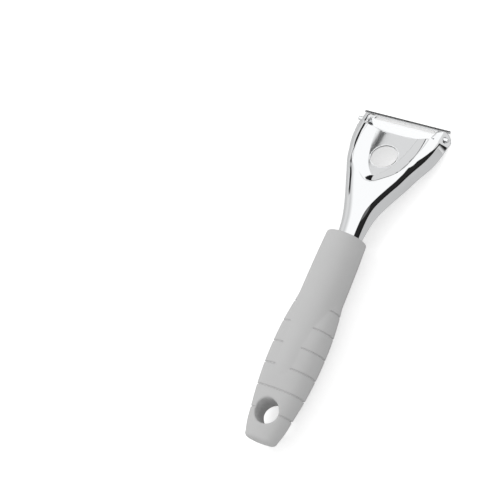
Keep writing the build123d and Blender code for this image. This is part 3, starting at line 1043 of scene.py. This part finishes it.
def blade_strip(size, finish):
    """Slotted strip, widest at the front bar, ground to an edge at the slot."""
    reach, back = size.reach, size.back
    front_half = size.front_length / 2
    back_half = size.back_length / 2
    right = [(0, -back), (back_half - 0.5, -back), (back_half, -back + 0.5)]
    right += [(size.waist / 2, BAR_START), (front_half - 0.2, BAR_CORNER), (front_half, BAR_FULL)]
    for angle in (pi / 2, pi / 4, 0):
        inwards, backwards = BAR_ROUNDING * (1 - sin(angle)), BAR_ROUNDING * (1 - cos(angle))
        right.append((front_half - inwards, reach - backwards))
    right = resample(right + [(0, reach)], 0.35)
    outline = np.vstack([right, right[::-1][1:-1] * [-1, 1]])
    radius = size.slot_width / 2
    slot_half = size.slot_length / 2 - radius
    turns = np.linspace(-pi / 2, pi / 2, 9)
    slot = [(slot_half + radius * cos(a), size.slot_place + radius * sin(a)) for a in turns]
    slot = resample(slot + [(-x, y) for x, y in slot[::-1]], 0.35, closed=True)
    xs = np.arange(-front_half, front_half, 0.5)
    ys = np.arange(-back + 0.3, reach, 0.4)
    inner = np.array([(x, y) for y in ys for x in xs])
    flat, triangles = sheet_net(outline, [slot], inner, 0.15)
    x, y = flat.T
    surface = np.stack([x, y + PIVOT[1], blade_level(size, y) + PIVOT[2]], axis=1)
    slot_front = size.slot_place + radius
    share = np.clip((y - slot_front) / EDGE_WIDTH, 0, 1)
    ground = (np.abs(x) < slot_half + 0.2) & (y > slot_front - 0.05)
    thickness = np.where(ground, EDGE_THICKNESS + (size.sheet - EDGE_THICKNESS) * share, size.sheet)
    piece = thick_sheet("blade_strip", surface, triangles, thickness, finish)
    round_edges(piece, 0.1, angle_deg=55, segments=1)
    shade(piece, 35)
    return piece


def blade_cheeks(size, finish):
    """Bent ends of the blade: part discs below the strip."""
    top = size.crown - 0.4
    outer = size.back_length / 2
    angles = np.linspace(radians(-186), radians(6), 40)
    edge = [(size.cheek_radius * cos(a), min(size.cheek_radius * sin(a), top)) for a in angles]
    n = len(edge)
    points, faces = [], []
    for sign in (-1, 1):
        start = len(points)
        for x in (outer - size.sheet, outer):
            points += [(sign * x, PIVOT[1] + y, PIVOT[2] + z) for y, z in edge]
        ring = list(range(start, start + n))
        other = [i + n for i in ring]
        sides = [(ring[i], ring[(i + 1) % n], other[(i + 1) % n], other[i]) for i in range(n)]
        faces += [tuple(ring[::-1]), tuple(other)] + sides
    piece = new_object("blade_cheeks", points, faces, finish)
    form = bmesh.new()
    form.from_mesh(piece.data)
    bmesh.ops.recalc_face_normals(form, faces=form.faces)
    form.to_mesh(piece.data)
    form.free()
    round_edges(piece, 0.12)
    shade(piece, 40)
    return piece


class PEELER_OT_blade(bpy.types.Operator):
    """Builds the slotted blade with its bent ends"""

    bl_idname = "peeler.blade"
    bl_label = "Blade"

    def execute(self, context):
        settings = context.scene.peeler_blade
        size = in_mm(settings)
        finish = steel_material(settings.steel_colour)
        strip = blade_strip(size, finish)
        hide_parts("blade")
        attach(strip, "swivel_blade")
        cheeks = blade_cheeks(size, finish)
        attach(cheeks, "swivel_blade")
        return {"FINISHED"}


def journal_tree(finish):
    """Geometry nodes that turn one domed journal and set it at both ends of the blade."""
    tree, known = start_tree("Journals", ("Radius", "Inner End", "Outer End", "Dome"), ("Pivot",))
    inner = add_node(tree, "ShaderNodeCombineXYZ", {"X": known["Inner End"]})
    outer = add_node(tree, "ShaderNodeCombineXYZ", {"X": known["Outer End"]})
    line = add_node(tree, "GeometryNodeCurvePrimitiveLine", {"Start": inner, "End": outer})
    fine = add_node(tree, "GeometryNodeResampleCurve", {"Curve": line, "Count": 60})
    place = add_node(tree, "GeometryNodeInputPosition")
    known["along"] = add_node(tree, "ShaderNodeSeparateXYZ", {0: place}).outputs["X"]
    known["index"] = add_node(tree, "GeometryNodeInputIndex").outputs[0]
    add_steps(tree, known, JOURNAL_STEPS)
    sized = add_node(tree, "GeometryNodeSetCurveRadius", {"Curve": fine, "Radius": known["size"]})
    ring = add_node(tree, "GeometryNodeCurvePrimitiveCircle", {"Resolution": 36, "Radius": 1.0})
    radius = add_node(tree, "GeometryNodeInputRadius")
    inputs = {"Curve": sized, "Profile Curve": ring, "Scale": radius, "Fill Caps": True}
    pin = add_node(tree, "GeometryNodeCurveToMesh", inputs)
    smooth = add_node(tree, "GeometryNodeSetShadeSmooth", {0: pin})
    inputs = {"Count": 2, "Start Location": known["Pivot"], "Offset": (0, 0, 0)}
    spots = add_node(tree, "GeometryNodeMeshLine", inputs)
    turn = add_node(tree, "ShaderNodeCombineXYZ", {"Z": known["turn"]})
    inputs = {"Points": spots, "Instance": smooth, "Rotation": turn}
    both = add_node(tree, "GeometryNodeInstanceOnPoints", inputs)
    end_tree(tree, both, finish)
    return tree


class PEELER_OT_journals(bpy.types.Operator):
    """Builds the two journals that the blade turns on"""

    bl_idname = "peeler.journals"
    bl_label = "Journals"

    def execute(self, context):
        settings = context.scene.peeler_blade
        finish = bpy.data.materials["ground_stainless_steel"]
        piece = new_object("blade_journals", [], [], finish)
        values = {
            "Radius": settings.journal / 2,
            "Inner End": settings.back_length / 2 - settings.sheet,
            "Outer End": settings.journal_span / 2,
            "Dome": 0.5 * MM,
            "Pivot": [value * MM for value in PIVOT],
        }
        run_tree(piece, journal_tree(finish), values)
        shade(piece, 60)
        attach(piece, "swivel_blade")
        return {"FINISHED"}


# Stage


def add_lamp(name, place, size, watts):
    """Rectangular lamp that points at the middle of the peeler."""
    lamp = bpy.data.lights.new(name, "AREA")
    lamp.shape = "RECTANGLE"
    lamp.size, lamp.size_y = size
    lamp.energy = watts
    made = bpy.data.objects.new(name, lamp)
    bpy.context.scene.collection.objects.link(made)
    made.location = place
    made.rotation_euler = (-Vector(place)).to_track_quat("-Z", "Y").to_euler()
    return made


def set_world():
    """Studio round the peeler: even white light for matt surfaces, and for polished ones a white
    ceiling over a pale grey room, with a dark wall, a lamp housing and a gap beside it."""
    world = bpy.data.worlds.new("Studio")
    bpy.context.scene.world = world
    world.use_nodes = True
    tree = world.node_tree
    tree.nodes.clear()
    direction = add_node(tree, "ShaderNodeTexCoord").outputs["Generated"]
    known = dict(zip("xyz", add_node(tree, "ShaderNodeSeparateXYZ", {0: direction}).outputs))
    path = add_node(tree, "ShaderNodeLightPath").outputs
    known["camera ray"] = path["Is Camera Ray"]
    add_steps(tree, known, STUDIO_STEPS)
    grey = add_node(tree, "ShaderNodeCombineColor", {part: known["level"] for part in range(3)})
    mirror = add_node(tree, "ShaderNodeBackground", {"Color": grey, "Strength": 1.0})
    inputs = {"Color": (1, 1, 1, 1), "Strength": known["plain level"]}
    plain = add_node(tree, "ShaderNodeBackground", inputs)
    mix = add_node(tree, "ShaderNodeMixShader", {0: path["Is Glossy Ray"], 1: plain, 2: mirror})
    add_node(tree, "ShaderNodeOutputWorld", {"Surface": mix})


class PEELER_OT_stage(bpy.types.Operator):
    """Builds the floor, the lights and the camera"""

    bl_idname = "peeler.stage"
    bl_label = "Stage"

    def execute(self, context):
        settings = context.scene.peeler_stage
        scene = context.scene
        # The floor lies just under the lowest point and is 6 m wide
        corners = [(x, y, LOWEST - 0.02) for x in (-3000, 3000) for y in (-3000, 3000)]
        floor = new_object("floor", corners, [(0, 2, 3, 1)], floor_material(settings.floor_colour))
        set_world()
        key = add_lamp("key", KEY_PLACE, KEY_SIZE, settings.key_power)
        key.visible_glossy = False
        add_lamp("fill", FILL_PLACE, FILL_SIZE, settings.fill_power)

        camera = bpy.data.objects.new("camera", bpy.data.cameras.new("camera"))
        scene.collection.objects.link(camera)
        scene.camera = camera
        turn = Matrix(CAMERA_AXES).transposed().to_4x4()
        camera.matrix_world = Matrix.Translation(CAMERA_PLACE) @ turn
        camera.data.sensor_fit = "HORIZONTAL"
        camera.data.sensor_width = SENSOR
        camera.data.lens = FOCAL_LENGTH * SENSOR / PHOTO_WIDTH
        camera.data.shift_x, camera.data.shift_y = SHIFT
        camera.data.clip_start = 0.01
        scene.view_settings.view_transform = "Standard"
        return {"FINISHED"}


class PEELER_PT_panel(bpy.types.Panel):
    bl_label = "Peeler"
    bl_idname = "PEELER_PT_panel"
    bl_space_type = "VIEW_3D"
    bl_region_type = "UI"
    bl_category = "Peeler"

    def draw(self, context):
        for maker in OPERATORS:
            self.layout.operator(maker.bl_idname)


SETTINGS = {
    "peeler_handle": HandleSettings,
    "peeler_head": HeadSettings,
    "peeler_blade": BladeSettings,
    "peeler_stage": StageSettings,
}
OPERATORS = (PEELER_OT_handle, PEELER_OT_head, PEELER_OT_blade, PEELER_OT_journals, PEELER_OT_stage)


def register():
    for made in (*SETTINGS.values(), *OPERATORS, PEELER_PT_panel):
        bpy.utils.register_class(made)
    for name, group in SETTINGS.items():
        setattr(bpy.types.Scene, name, PointerProperty(type=group))


def unregister():
    for name in SETTINGS:
        delattr(bpy.types.Scene, name)
    for made in reversed((*SETTINGS.values(), *OPERATORS, PEELER_PT_panel)):
        bpy.utils.unregister_class(made)


def main():
    register()
    bpy.ops.peeler.stage()
    bpy.ops.peeler.handle()
    bpy.ops.peeler.head()
    bpy.ops.peeler.blade()
    bpy.ops.peeler.journals()


if __name__ == "__main__":
    main()
